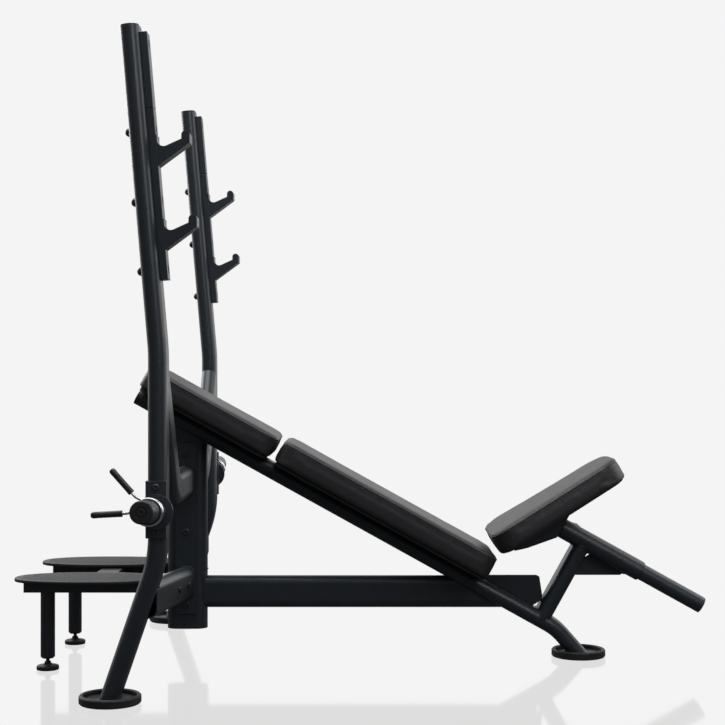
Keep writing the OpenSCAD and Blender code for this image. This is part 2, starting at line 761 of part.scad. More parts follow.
module deck(side) color(rubber) translate([deck_x, side * deck_y, deck_top - deck_t])
    linear_extrude(deck_t) deck_outline();

// Round pad and threaded stud of a levelling foot
module leveller_pad(side) color(rubber) translate([leg_x, side * leg_y, 0]) rotate_extrude()
    polygon([[0, 0], [27, 0], [28, 1], [28, 9], [25, 11.5], [12, 12.5], [10, pad_h], [0, pad_h]]);

module leveller_stud(side) color(rubber) translate([leg_x, side * leg_y, 0]) {
    translate([0, 0, pad_h + 0.3]) cylinder(d = stud_d, h = 43);
    translate([0, 0, pad_h + 0.3]) cylinder(d = 17, h = 5, $fn = 6);
}

tower_column();
flange(1);  // flange_left
flange(-1);  // flange_right
base_bolts();
main_beam();
upright(1);  // upright_left
upright(-1);  // upright_right
end_caps();
brace(1);  // brace_left
brace(-1);  // brace_right
cross_tube(1);  // cross_tube_left
cross_tube(-1);  // cross_tube_right
foot_plates();
foot_rings();
hook_rail(1);  // hook_rail_left
hook_rail(-1);  // hook_rail_right
hook(1, upper_saddle);  // hook_upper_left
hook(-1, upper_saddle);  // hook_upper_right
hook(1, lower_saddle);  // hook_lower_left
hook(-1, lower_saddle);  // hook_lower_right
cover_rails();
rack_bolts();
horn_bracket(1);  // horn_bracket_left
horn_bracket(-1);  // horn_bracket_right
horn(1);  // horn_left
horn(-1);  // horn_right
horn_cap(1);  // horn_cap_left
horn_cap(-1);  // horn_cap_right
collar(1);  // collar_left
collar(-1);  // collar_right
collar_lever(1);  // collar_lever_left
collar_lever(-1);  // collar_lever_right
collar_grip(1);  // collar_grip_left
collar_grip(-1);  // collar_grip_right
lever_grip(1);  // lever_grip_left
lever_grip(-1);  // lever_grip_right
back_rail();
pad_brackets();
backboard(upper_pad_u, upper_pad_l);  // backboard_upper
backboard(lower_pad_u, lower_pad_l);  // backboard_lower
back_pad(upper_pad_u, upper_pad_l, upper_pad_t);  // pad_upper
back_pad(lower_pad_u, lower_pad_l, lower_pad_t);  // pad_lower
seat_post();
post_gussets();
seat_sleeve();
sleeve_liner();
pin_barrel();
seat_tube();
seat_tube_cap();
seat_bracket();
seat_board();
seat_pad();
pin_knob();
deck_frame();
deck(1);  // deck_left
deck(-1);  // deck_right
leveller_pad(1);  // leveller_pad_left
leveller_pad(-1);  // leveller_pad_right
leveller_stud(1);  // leveller_stud_left
leveller_stud(-1);  // leveller_stud_right
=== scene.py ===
import bpy
import bmesh
import json
import math
from mathutils import Matrix, Vector
from mathutils.bvhtree import BVHTree


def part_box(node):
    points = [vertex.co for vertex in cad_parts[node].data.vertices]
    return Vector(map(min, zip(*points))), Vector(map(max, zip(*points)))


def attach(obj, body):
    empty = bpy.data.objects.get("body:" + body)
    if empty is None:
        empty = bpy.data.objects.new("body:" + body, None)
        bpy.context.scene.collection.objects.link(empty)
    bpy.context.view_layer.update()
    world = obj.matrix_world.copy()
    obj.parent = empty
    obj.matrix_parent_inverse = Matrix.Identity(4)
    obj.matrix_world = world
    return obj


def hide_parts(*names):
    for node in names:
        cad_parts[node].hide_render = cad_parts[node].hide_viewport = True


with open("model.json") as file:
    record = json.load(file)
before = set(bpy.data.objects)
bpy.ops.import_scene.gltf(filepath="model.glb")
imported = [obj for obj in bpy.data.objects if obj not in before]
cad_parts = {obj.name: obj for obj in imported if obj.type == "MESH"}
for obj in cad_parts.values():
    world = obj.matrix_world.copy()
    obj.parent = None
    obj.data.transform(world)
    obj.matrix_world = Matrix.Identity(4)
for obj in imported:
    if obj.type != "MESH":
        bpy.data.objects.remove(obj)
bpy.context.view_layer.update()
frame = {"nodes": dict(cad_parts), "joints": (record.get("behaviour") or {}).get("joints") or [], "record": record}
nodes = frame["nodes"]
scene = bpy.context.scene
print("frame loaded", len(nodes), "nodes")

# Directions that the moving parts give: down the incline, off it, and out along each horn
slideAxis = next(Vector(j["axis"]) for j in frame["joints"] if j["name"] == "seat_slide")
inclineAngle = math.atan2(slideAxis.z, -slideAxis.x)


def boxOf(name):
    low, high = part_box(name)
    return low, high, (low + high) / 2


def bodyOf(node):
    return next(b for b, names in frame["record"]["behaviour"]["bodies"].items() if node in names)


# Camera, lights and floor

view = {
    "eye": (-0.0066, -3.967, 0.752),
    "lens": 74.6,
    "shift": (-0.0022, 0.0118),
}

studio = {
    "backdrop": (0.905, 0.905, 0.905),
    "fromAbove": (0.76, 0.8, 0.86),     # light of the room on what faces up
    "fromBelow": (0.03, 0.034, 0.042),  # and on what faces down
    "roomLight": 0.48,
    "mirrorShare": 0.2,                 # how much the floor mirrors, the rest glows as the backdrop
    "floorToBench": (0.07, 0.07, 0.072),
    "radius": 9,                        # of the floor and of the screen round it
    "lights": [
        # name, place, width, height, watts
        ("highBank", (-0.4, -0.5, 3.6), 3.6, 1.6, 80),
        ("nearStrip", (1.9, -3.2, 2.9), 0.9, 2.6, 38),
        ("farStrip", (-2.6, 2.4, 2.6), 1.0, 2.6, 55),
        ("frontStrip", (3.4, 0.8, 2.4), 1.8, 2.4, 26),
    ],
}


def makeCamera():
    cam = bpy.data.cameras.new("mainCamera")
    cam.lens = view["lens"]
    cam.sensor_width = 36
    cam.shift_x, cam.shift_y = view["shift"]
    cam.clip_end = 100
    holder = bpy.data.objects.new("mainCamera", cam)
    holder.location = view["eye"]
    holder.rotation_euler = (math.pi / 2, 0, 0)
    scene.collection.objects.link(holder)
    scene.camera = holder


def makeStudio():
    # The camera sees a plain backdrop; the light on the bench comes mostly from above
    scene.view_settings.view_transform = "Standard"
    world = bpy.data.worlds.new("paleStudio")
    world.use_nodes = True
    scene.world = world
    tree = world.node_tree
    links = tree.links
    seen = tree.nodes["Background"]
    seen.inputs["Color"].default_value = (*studio["backdrop"], 1)
    room = tree.nodes.new("ShaderNodeBackground")
    room.inputs["Strength"].default_value = studio["roomLight"]
    way = tree.nodes.new("ShaderNodeTexCoord")
    split = tree.nodes.new("ShaderNodeSeparateXYZ")
    ramp = tree.nodes.new("ShaderNodeMapRange")
    ramp.inputs["From Min"].default_value = -0.25
    ramp.inputs["From Max"].default_value = 0.95
    blend = tree.nodes.new("ShaderNodeMix")
    blend.data_type = "RGBA"
    low, high = [s for s in blend.inputs if s.type == "RGBA"]
    low.default_value = (*studio["fromBelow"], 1)
    high.default_value = (*studio["fromAbove"], 1)
    ray = tree.nodes.new("ShaderNodeLightPath")
    mix = tree.nodes.new("ShaderNodeMixShader")
    links.new(way.outputs["Generated"], split.inputs["Vector"])
    links.new(split.outputs["Z"], ramp.inputs["Value"])
    links.new(ramp.outputs["Result"], blend.inputs["Factor"])
    links.new(next(s for s in blend.outputs if s.type == "RGBA"), room.inputs["Color"])
    links.new(ray.outputs["Is Camera Ray"], mix.inputs["Fac"])
    links.new(room.outputs["Background"], mix.inputs[1])
    links.new(seen.outputs["Background"], mix.inputs[2])
    links.new(mix.outputs["Shader"], tree.nodes["World Output"].inputs["Surface"])
    for name, place, width, height, watts in studio["lights"]:
        lamp = bpy.data.lights.new(name, "AREA")
        lamp.shape = "RECTANGLE"
        lamp.size = width
        lamp.size_y = height
        lamp.energy = watts
        holder = bpy.data.objects.new(name, lamp)
        holder.location = place
        aim = Vector((0, 0, 0.6)) - Vector(place)
        holder.rotation_euler = aim.to_track_quat("-Z", "Y").to_euler()
        scene.collection.objects.link(holder)


def glowing(tree, color):
    glow = tree.nodes.new("ShaderNodeEmission")
    glow.inputs["Color"].default_value = (*color, 1)
    return glow.outputs["Emission"]


def makeFloor():
    # A pale polished floor: it glows like the backdrop and mirrors the bench a little
    bm = bmesh.new()
    bmesh.ops.create_circle(bm, cap_ends=True, radius=studio["radius"], segments=64)
    floor = meshObject("studioFloor", bm)
    mat = bpy.data.materials.new("paleFloor")
    mat.use_nodes = True
    tree = mat.node_tree
    links = tree.links
    shine = tree.nodes["Principled BSDF"]
    shine.inputs["Base Color"].default_value = (1, 1, 1, 1)
    shine.inputs["Metallic"].default_value = 1
    shine.inputs["Roughness"].default_value = 0.07
    seen = tree.nodes.new("ShaderNodeMixShader")
    seen.inputs["Fac"].default_value = studio["mirrorShare"]
    ray = tree.nodes.new("ShaderNodeLightPath")
    mix = tree.nodes.new("ShaderNodeMixShader")
    links.new(glowing(tree, studio["backdrop"]), seen.inputs[1])
    links.new(shine.outputs["BSDF"], seen.inputs[2])
    links.new(ray.outputs["Is Camera Ray"], mix.inputs["Fac"])
    links.new(glowing(tree, studio["floorToBench"]), mix.inputs[1])
    links.new(seen.outputs["Shader"], mix.inputs[2])
    links.new(mix.outputs["Shader"], tree.nodes["Material Output"].inputs["Surface"])
    floor.data.materials.append(mat)


def makeScreen():
    # The lit backdrop that the floor and the shiny rims mirror, a ring well outside the bench
    bm = bmesh.new()
    bmesh.ops.create_cone(bm, cap_ends=False, segments=64, radius1=studio["radius"],
                          radius2=studio["radius"], depth=studio["radius"])
    bmesh.ops.delete(bm, geom=[f for f in bm.faces if f.calc_center_median().y < 1], context="FACES")
    bmesh.ops.translate(bm, vec=(0, 0, studio["radius"] / 2), verts=bm.verts)
    screen = meshObject("studioScreen", bm)
    mat = bpy.data.materials.new("litScreen")
    mat.use_nodes = True
    tree = mat.node_tree
    tree.links.new(glowing(tree, studio["backdrop"]), tree.nodes["Material Output"].inputs["Surface"])
    screen.data.materials.append(mat)
    screen.visible_camera = False
    screen.visible_diffuse = False


def meshObject(name, bm, smooth=False):
    mesh = bpy.data.meshes.new(name)
    bm.to_mesh(mesh)
    bm.free()
    if smooth:
        for face in mesh.polygons:
            face.use_smooth = True
    obj = bpy.data.objects.new(name, mesh)
    scene.collection.objects.link(obj)
    return obj


makeCamera()
makeStudio()
makeFloor()
makeScreen()
print("camera, lights and floor done")


# Shared shader groups

def newGroup(name, inputs, outputs):
    group = bpy.data.node_groups.new(name, "ShaderNodeTree")
    for label, kind, value in inputs:
        socket = group.interface.new_socket(name=label, in_out="INPUT", socket_type=kind)
        socket.default_value = value
    for label, kind in outputs:
        group.interface.new_socket(name=label, in_out="OUTPUT", socket_type=kind)
    return group, group.nodes.new("NodeGroupInput"), group.nodes.new("NodeGroupOutput")


def addNode(tree, kind, values=None, **settings):
    node = tree.nodes.new(kind)
    for key, value in settings.items():
        setattr(node, key, value)
    for key, value in (values or {}).items():
        node.inputs[key].default_value = value
    return node


def makeGrain():
    # Two sizes of noise laid over each other, as height and as a slow mottle
    group, gIn, gOut = newGroup("surfaceGrain", [
        ("Fine Scale", "NodeSocketFloat", 1200.0),
        ("Coarse Scale", "NodeSocketFloat", 60.0),
        ("Coarse Share", "NodeSocketFloat", 0.3),
    ], [("Height", "NodeSocketFloat"), ("Mottle", "NodeSocketFloat")])
    links = group.links
    place = addNode(group, "ShaderNodeTexCoord")
    fine = addNode(group, "ShaderNodeTexNoise", {"Detail": 3.0, "Roughness": 0.6})
    coarse = addNode(group, "ShaderNodeTexNoise", {"Detail": 4.0, "Roughness": 0.55})
    mix = addNode(group, "ShaderNodeMix")
    links.new(place.outputs["Object"], fine.inputs["Vector"])
    links.new(place.outputs["Object"], coarse.inputs["Vector"])
    links.new(gIn.outputs["Fine Scale"], fine.inputs["Scale"])
    links.new(gIn.outputs["Coarse Scale"], coarse.inputs["Scale"])
    links.new(gIn.outputs["Coarse Share"], mix.inputs["Factor"])
    links.new(fine.outputs["Fac"], mix.inputs["A"])
    links.new(coarse.outputs["Fac"], mix.inputs["B"])
    links.new(mix.outputs["Result"], gOut.inputs["Height"])
    links.new(coarse.outputs["Fac"], gOut.inputs["Mottle"])
    return group


def makeEdges():
    # Softened corners, and a mask of where the corners are rubbed
    group, gIn, gOut = newGroup("rubbedEdges", [
        ("Radius", "NodeSocketFloat", 0.0012),
        ("Patchiness", "NodeSocketFloat", 45.0),
    ], [("Normal", "NodeSocketVector"), ("Rub", "NodeSocketFloat")])
    links = group.links
    soft = addNode(group, "ShaderNodeBevel", samples=6)
    flat = addNode(group, "ShaderNodeNewGeometry")
    dot = addNode(group, "ShaderNodeVectorMath", operation="DOT_PRODUCT")
    edge = addNode(group, "ShaderNodeMapRange",
                   {"From Min": 0.985, "From Max": 0.86, "To Min": 0.0, "To Max": 1.0})
    place = addNode(group, "ShaderNodeTexCoord")
    patches = addNode(group, "ShaderNodeTexNoise", {"Detail": 5.0, "Roughness": 0.7})
    cut = addNode(group, "ShaderNodeMapRange", {"From Min": 0.42, "From Max": 0.66})
    both = addNode(group, "ShaderNodeMath", operation="MULTIPLY")
    links.new(gIn.outputs["Radius"], soft.inputs["Radius"])
    links.new(gIn.outputs["Patchiness"], patches.inputs["Scale"])
    links.new(place.outputs["Object"], patches.inputs["Vector"])
    links.new(soft.outputs["Normal"], dot.inputs[0])
    links.new(flat.outputs["Normal"], dot.inputs[1])
    links.new(dot.outputs["Value"], edge.inputs["Value"])
    links.new(patches.outputs["Fac"], cut.inputs["Value"])
    links.new(edge.outputs["Result"], both.inputs[0])
    links.new(cut.outputs["Result"], both.inputs[1])
    links.new(soft.outputs["Normal"], gOut.inputs["Normal"])
    links.new(both.outputs["Value"], gOut.inputs["Rub"])
    return group


def makeDust():
    # Dust that settles on what faces up
    group, gIn, gOut = newGroup("settledDust", [
        ("Scale", "NodeSocketFloat", 14.0),
    ], [("Mask", "NodeSocketFloat")])
    links = group.links
    shape = addNode(group, "ShaderNodeNewGeometry")
    split = addNode(group, "ShaderNodeSeparateXYZ")
    up = addNode(group, "ShaderNodeMapRange", {"From Min": 0.55, "From Max": 1.0})
    place = addNode(group, "ShaderNodeTexCoord")
    clouds = addNode(group, "ShaderNodeTexNoise", {"Detail": 6.0, "Roughness": 0.65})
    both = addNode(group, "ShaderNodeMath", operation="MULTIPLY")
    links.new(shape.outputs["Normal"], split.inputs["Vector"])
    links.new(split.outputs["Z"], up.inputs["Value"])
    links.new(place.outputs["Object"], clouds.inputs["Vector"])
    links.new(gIn.outputs["Scale"], clouds.inputs["Scale"])
    links.new(up.outputs["Result"], both.inputs[0])
    links.new(clouds.outputs["Fac"], both.inputs[1])
    links.new(both.outputs["Value"], gOut.inputs["Mask"])
    return group


def makeHide():
    # Pebbled vinyl: small rounded cells with creases between them, and a mask for painted shade in the creases
    group, gIn, gOut = newGroup("pebbledVinyl", [
        ("Scale", "NodeSocketFloat", 620.0),
    ], [("Height", "NodeSocketFloat"), ("Crease Shade", "NodeSocketFloat")])
    links = group.links
    place = addNode(group, "ShaderNodeTexCoord")
    warp = addNode(group, "ShaderNodeTexNoise", {"Scale": 180.0, "Detail": 2.0})
    shift = addNode(group, "ShaderNodeMix", data_type="VECTOR")
    shift.inputs["Factor"].default_value = 0.004
    cells = addNode(group, "ShaderNodeTexVoronoi", feature="DISTANCE_TO_EDGE")
    rounded = addNode(group, "ShaderNodeMapRange", {"From Min": 0.0, "From Max": 0.22})
    crease = addNode(group, "ShaderNodeMapRange",
                     {"From Min": 0.0, "From Max": 0.1, "To Min": 1.0, "To Max": 0.0})
    links.new(place.outputs["Object"], warp.inputs["Vector"])
    links.new(place.outputs["Object"], shift.inputs["A"])
    links.new(warp.outputs["Color"], shift.inputs["B"])
    links.new(shift.outputs["Result"], cells.inputs["Vector"])
    links.new(gIn.outputs["Scale"], cells.inputs["Scale"])
    links.new(cells.outputs["Distance"], rounded.inputs["Value"])
    links.new(cells.outputs["Distance"], crease.inputs["Value"])
    links.new(rounded.outputs["Result"], gOut.inputs["Height"])
    links.new(crease.outputs["Result"], gOut.inputs["Crease Shade"])
    return group


grainGroup = makeGrain()
edgeGroup = makeEdges()
dustGroup = makeDust()
hideGroup = makeHide()


# Materials

def groupNode(tree, group, values=None):
    node = tree.nodes.new("ShaderNodeGroup")
    node.node_tree = group
    for key, value in (values or {}).items():
        node.inputs[key].default_value = value
    return node


def mixColor(tree, factor, first, second):
    mix = tree.nodes.new("ShaderNodeMix")
    mix.data_type = "RGBA"
    sockets = [s for s in mix.inputs if s.type == "RGBA"]
    for socket, value in zip(sockets, (first, second)):
        if isinstance(value, tuple):
            socket.default_value = (*value, 1)
        else:
            tree.links.new(value, socket)
    tree.links.new(factor, mix.inputs["Factor"])
    return next(s for s in mix.outputs if s.type == "RGBA")


def scaled(tree, value, low, high):
    node = addNode(tree, "ShaderNodeMapRange", {"To Min": low, "To Max": high})
    tree.links.new(value, node.inputs["Value"])
    return node.outputs["Result"]


def coating(name, look):
    # A painted, moulded or plated surface: grain, mottle, rubbed edges and dust
    mat = bpy.data.materials.new(name)
    mat.use_nodes = True
    tree = mat.node_tree
    links = tree.links
    bsdf = tree.nodes["Principled BSDF"]
    grain = groupNode(tree, grainGroup, {"Fine Scale": look["fine"], "Coarse Scale": look["coarse"],
                                         "Coarse Share": look["share"]})
    edges = groupNode(tree, edgeGroup, {"Radius": look["soften"]})
    dust = groupNode(tree, dustGroup)
    mottled = mixColor(tree, grain.outputs["Mottle"], look["dark"], look["light"])
    rubbed = mixColor(tree, scaled(tree, edges.outputs["Rub"], 0, look["rub"]), mottled, look["rubColor"])
    dusty = mixColor(tree, scaled(tree, dust.outputs["Mask"], 0, look["dust"]), rubbed, (0.32, 0.31, 0.3))
    links.new(dusty, bsdf.inputs["Base Color"])
    links.new(scaled(tree, grain.outputs["Mottle"], *look["roughness"]), bsdf.inputs["Roughness"])
    bump = addNode(tree, "ShaderNodeBump", {"Strength": look["bump"], "Distance": look["depth"]})
    links.new(grain.outputs["Height"], bump.inputs["Height"])
    links.new(edges.outputs["Normal"], bump.inputs["Normal"])
    links.new(bump.outputs["Normal"], bsdf.inputs["Normal"])
    bsdf.inputs["Metallic"].default_value = look.get("metallic", 0)
    bsdf.inputs["Specular IOR Level"].default_value = look.get("specular", 0.5)
    return mat


coats = {
    "powderCoat": {
        "dark": (0.0185, 0.0235, 0.0290), "light": (0.0260, 0.0320, 0.0385), "roughness": (0.30, 0.42),
        "fine": 1500, "coarse": 38, "share": 0.25, "bump": 0.12, "depth": 0.0002,
        "soften": 0.0012, "rub": 0.35, "rubColor": (0.10, 0.105, 0.11), "dust": 0.05,
    },
    "footRubber": {
        "dark": (0.008, 0.008, 0.009), "light": (0.014, 0.014, 0.015), "roughness": (0.5, 0.7),
        "fine": 900, "coarse": 60, "share": 0.4, "bump": 0.4, "depth": 0.0006,
        "soften": 0.0015, "rub": 0.3, "rubColor": (0.06, 0.06, 0.062), "dust": 0.12,
    },
    "blackPlastic": {
        "dark": (0.012, 0.012, 0.013), "light": (0.018, 0.018, 0.019), "roughness": (0.3, 0.42),
        "fine": 2200, "coarse": 50, "share": 0.2, "bump": 0.12, "depth": 0.0002,
        "soften": 0.001, "rub": 0.25, "rubColor": (0.05, 0.05, 0.052), "dust": 0.05,
    },
    "blackFastener": {
        "dark": (0.016, 0.017, 0.019), "light": (0.026, 0.027, 0.03), "roughness": (0.26, 0.4),
        "fine": 1800, "coarse": 90, "share": 0.3, "bump": 0.12, "depth": 0.0002,
        "soften": 0.0006, "rub": 0.5, "rubColor": (0.16, 0.16, 0.165), "dust": 0.03,
    },
    "springChrome": {
        "dark": (0.62, 0.63, 0.65), "light": (0.8, 0.81, 0.83), "roughness": (0.08, 0.2),
        "fine": 1500, "coarse": 120, "share": 0.5, "bump": 0.04, "depth": 0.0002,
        "soften": 0.0005, "rub": 0.2, "rubColor": (0.5, 0.5, 0.5), "dust": 0.02, "metallic": 1.0,
    },
    "backingBoard": {
        "dark": (0.010, 0.010, 0.010), "light": (0.018, 0.017, 0.017), "roughness": (0.7, 0.9),
        "fine": 700, "coarse": 90, "share": 0.5, "bump": 0.5, "depth": 0.0005,
        "soften": 0.0012, "rub": 0.3, "rubColor": (0.04, 0.035, 0.03), "dust": 0.06,
    },
    "seamThread": {
        "dark": (0.015, 0.015, 0.016), "light": (0.04, 0.04, 0.042), "roughness": (0.5, 0.7),
        "fine": 3000, "coarse": 400, "share": 0.5, "bump": 0.4, "depth": 0.0003,
        "soften": 0.0003, "rub": 0.2, "rubColor": (0.06, 0.06, 0.06), "dust": 0.02,
    },
}

# The crease colour is painted shade for the creases between the cells
vinylLook = {
    "dark": (0.016, 0.0158, 0.0175), "light": (0.026, 0.0255, 0.028), "crease": (0.008, 0.008, 0.009),
    "roughness": (0.40, 0.52), "cells": 620, "bump": 0.2, "depth": 0.0003, "dust": 0.08,
}


def vinyl(name, look):
    mat = bpy.data.materials.new(name)
    mat.use_nodes = True
    tree = mat.node_tree
    links = tree.links
    bsdf = tree.nodes["Principled BSDF"]
    hide = groupNode(tree, hideGroup, {"Scale": look["cells"]})
    grain = groupNode(tree, grainGroup, {"Fine Scale": 2400, "Coarse Scale": 22, "Coarse Share": 0.35})
    dust = groupNode(tree, dustGroup)
    base = mixColor(tree, grain.outputs["Mottle"], look["dark"], look["light"])
    # Painted shade: the colour is darkened in the creases between the cells
    creaseShaded = mixColor(tree, scaled(tree, hide.outputs["Crease Shade"], 0, 0.7), base, look["crease"])
    dusty = mixColor(tree, scaled(tree, dust.outputs["Mask"], 0, look["dust"]), creaseShaded, (0.3, 0.29, 0.29))
    links.new(dusty, bsdf.inputs["Base Color"])
    links.new(scaled(tree, grain.outputs["Mottle"], *look["roughness"]), bsdf.inputs["Roughness"])
    small = addNode(tree, "ShaderNodeBump", {"Strength": 0.1, "Distance": 0.0002})
    links.new(grain.outputs["Height"], small.inputs["Height"])
    bump = addNode(tree, "ShaderNodeBump", {"Strength": look["bump"], "Distance": look["depth"]})
    links.new(hide.outputs["Height"], bump.inputs["Height"])
    links.new(small.outputs["Normal"], bump.inputs["Normal"])
    links.new(bump.outputs["Normal"], bsdf.inputs["Normal"])
    return mat


materials = {name: coating(name, look) for name, look in coats.items()}
materials["padVinyl"] = vinyl("padVinyl", vinylLook)
slotFinish = {
    "powder_coat": "powderCoat", "foot_rubber": "footRubber", "black_plastic": "blackPlastic",
    "black_fastener": "blackFastener", "vinyl_pad": "padVinyl", "backing_board": "backingBoard",
    "chrome_wire": "springChrome",
}
print("materials done", len(materials))


# Shared shaping tools

def turned(origin, xAxis, zAxis):
    zAxis = Vector(zAxis).normalized()
    xAxis = Vector(xAxis)
    xAxis = (xAxis - xAxis.dot(zAxis) * zAxis).normalized()
    turn = Matrix((xAxis, zAxis.cross(xAxis), zAxis)).transposed().to_4x4()
    return Matrix.Translation(origin) @ turn


def finishPiece(obj, finish, body, replaced=(), smoothAngle=math.radians(38)):
    # Material, shading, the body it rides on and the CAD nodes it stands for
    obj.data.materials.clear()
    obj.data.materials.append(materials[finish])
    obj.data.shade_smooth()
    obj.data.set_sharp_from_angle(angle=smoothAngle)
    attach(obj, body)
    if replaced:
        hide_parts(*replaced)
    return obj


def cleanShell(bm):
    bmesh.ops.remove_doubles(bm, verts=bm.verts, dist=1e-6)
    bmesh.ops.recalc_face_normals(bm, faces=bm.faces)


def spunShape(profile, steps=48):
    # A profile of (radius, height) points turned about Z; ends on the axis close it
    bm = bmesh.new()
    dots = [bm.verts.new((radius, 0, height)) for radius, height in profile]
    edges = [bm.edges.new(pair) for pair in zip(dots, dots[1:])]
    bmesh.ops.spin(bm, geom=dots + edges, cent=(0, 0, 0), axis=(0, 0, 1),
                   angle=2 * math.pi, steps=steps, use_merge=True)
    cleanShell(bm)
    return bm


def addCopy(bm, part, place):
    # Joins a shaped part to bm at a place, and leaves the part for more copies
    holder = bpy.data.meshes.new("copy")
    part.to_mesh(holder)
    holder.transform(place)
    bm.from_mesh(holder)
    bpy.data.meshes.remove(holder)


def bakedMesh(obj):
    depsgraph = bpy.context.evaluated_depsgraph_get()
    depsgraph.update()
    return bpy.data.meshes.new_from_object(obj.evaluated_get(depsgraph))


def wireMesh(points, radius, closed=False, resolution=3, radii=None):
    # A round wire along points, as a mesh
    curve = bpy.data.curves.new("wire", "CURVE")
    curve.dimensions = "3D"
    curve.bevel_depth = radius
    curve.bevel_resolution = resolution
    curve.use_fill_caps = True
    spline = curve.splines.new("POLY")
    spline.points.add(len(points) - 1)
    for i, point in enumerate(points):
        spline.points[i].co = (*point, 1)
        spline.points[i].radius = radii[i] if radii else 1
    spline.use_cyclic_u = closed
    holder = bpy.data.objects.new("wire", curve)
    scene.collection.objects.link(holder)
    mesh = bakedMesh(holder)
    bpy.data.objects.remove(holder)
    return mesh


def wirePiece(name, wires, finish, body, replaced=()):
    bm = bmesh.new()
    for wire in wires:
        bm.from_mesh(wire)
    cleanShell(bm)
    return finishPiece(meshObject(name, bm), finish, body, replaced)


def evenly(points, spacing):
    # The closed loop of points again, at even steps
    loop = points + [points[0]]
    lengths = [0]
    for a, b in zip(loop, loop[1:]):
        lengths.append(lengths[-1] + (b - a).length)
    count = max(8, round(lengths[-1] / spacing))
    result = []
    k = 0
    for i in range(count):
        want = lengths[-1] * i / count
        while lengths[k + 1] < want:
            k += 1
        share = (want - lengths[k]) / max(lengths[k + 1] - lengths[k], 1e-9)
        result.append(loop[k].lerp(loop[k + 1], share))
    return result


# Carried-over nodes: finishes from their slots, softened edges on plates and bars

softened = {
    "width": 0.0011,
    "nodes": ["hook_rail_left", "hook_rail_right", "hook_upper_left", "hook_upper_right",
              "hook_lower_left", "hook_lower_right", "cover_rails", "pad_brackets", "post_gussets",
              "backboard_upper", "backboard_lower", "seat_board", "foot_plates"],
}

for name, obj in nodes.items():
    for slot in obj.material_slots:
        slotName = slot.material.name.split(".")[0] if slot.material else ""
        finish = slotFinish.get(slotName)
        if finish is None:
            row = next((p for p in frame["record"]["subparts"] if p["node"] == name), None)
            finish = slotFinish[row["material_slot"]]
        slot.material = materials[finish]

for name in softened["nodes"]:
    weld = nodes[name].modifiers.new("mergedEdges", "WELD")
    weld.merge_threshold = 1e-5
    bevel = nodes[name].modifiers.new("softEdges", "BEVEL")
    bevel.width = softened["width"]
    bevel.segments = 2
    bevel.limit_method = "ANGLE"
    bevel.angle_limit = math.radians(40)
    bevel.use_clamp_overlap = True
    nodes[name].modifiers.new("evenShading", "WEIGHTED_NORMAL")
print("carried-over nodes finished")


# Upholstered pads: foam blocks under stretched vinyl

seatTilt = math.radians(31.5)

padMaking = {
    "voxel": 0.005,
    "inset": 0.001,       # how far the cut foam stays inside the finished pad
    "topEdge": 0.009,
    "bottomEdge": 0.003,
    "pressure": 2.5,
    "frames": 20,
    "mostSwell": 0.0012,
}

pads = {
    "upperBackPad": {"node": "pad_upper", "body": "frame", "angle": inclineAngle,
                     "corner": 0.03, "narrowing": 0.0},
    "lowerBackPad": {"node": "pad_lower", "body": "frame", "angle": inclineAngle,
                     "corner": 0.03, "narrowing": 0.0},
    "seatCushion": {"node": "seat_pad", "body": "seat_unit", "angle": -seatTilt,
                    "corner": 0.056, "narrowing": 0.26},
}


def slabFrame(node, angle):
    # Place and size of a slab that is turned about Y, from the box round it
    low, high, middle = boxOf(node)
    size = high - low
    c = math.cos(angle)
    s = abs(math.sin(angle))
    length = (size.x * c - size.z * s) / (c * c - s * s)
    thick = (size.z * c - size.x * s) / (c * c - s * s)
    return Matrix.Translation(middle) @ Matrix.Rotation(angle, 4, "Y"), Vector((length, size.y, thick))


def padBlank(size, look):
    # The foam block: rounded corners in plan, a soft top rim and a tight bottom rim
    inset = padMaking["inset"]
    bm = bmesh.new()
    bmesh.ops.create_cube(bm, size=1)
    bmesh.ops.scale(bm, vec=size - Vector((2 * inset, 2 * inset, inset)), verts=bm.verts)
    bmesh.ops.translate(bm, vec=(0, 0, -inset / 2), verts=bm.verts)
    for vert in bm.verts:
        if vert.co.x > 0:
            vert.co.y *= 1 - look["narrowing"]
    upright = [e for e in bm.edges if abs(e.verts[0].co.z - e.verts[1].co.z) > 0.01]
    bmesh.ops.bevel(bm, geom=upright, offset=look["corner"], affect="EDGES", segments=10,
                    profile=0.5, material=-1)
    for sign, width, segments in ((1, padMaking["topEdge"], 5), (-1, padMaking["bottomEdge"], 3)):
        level = max(sign * v.co.z for v in bm.verts)
        rim = [e for e in bm.edges if all(sign * v.co.z > level - 1e-5 for v in e.verts)]
        bmesh.ops.bevel(bm, geom=rim, offset=width, affect="EDGES", segments=segments,
                        profile=0.5, material=-1)
    cleanShell(bm)
    return bm


def remeshed(obj, voxel):
    change = obj.modifiers.new("voxels", "REMESH")
    change.mode = "VOXEL"
    change.voxel_size = voxel
    mesh = bakedMesh(obj)
    obj.modifiers.clear()
    obj.data = mesh


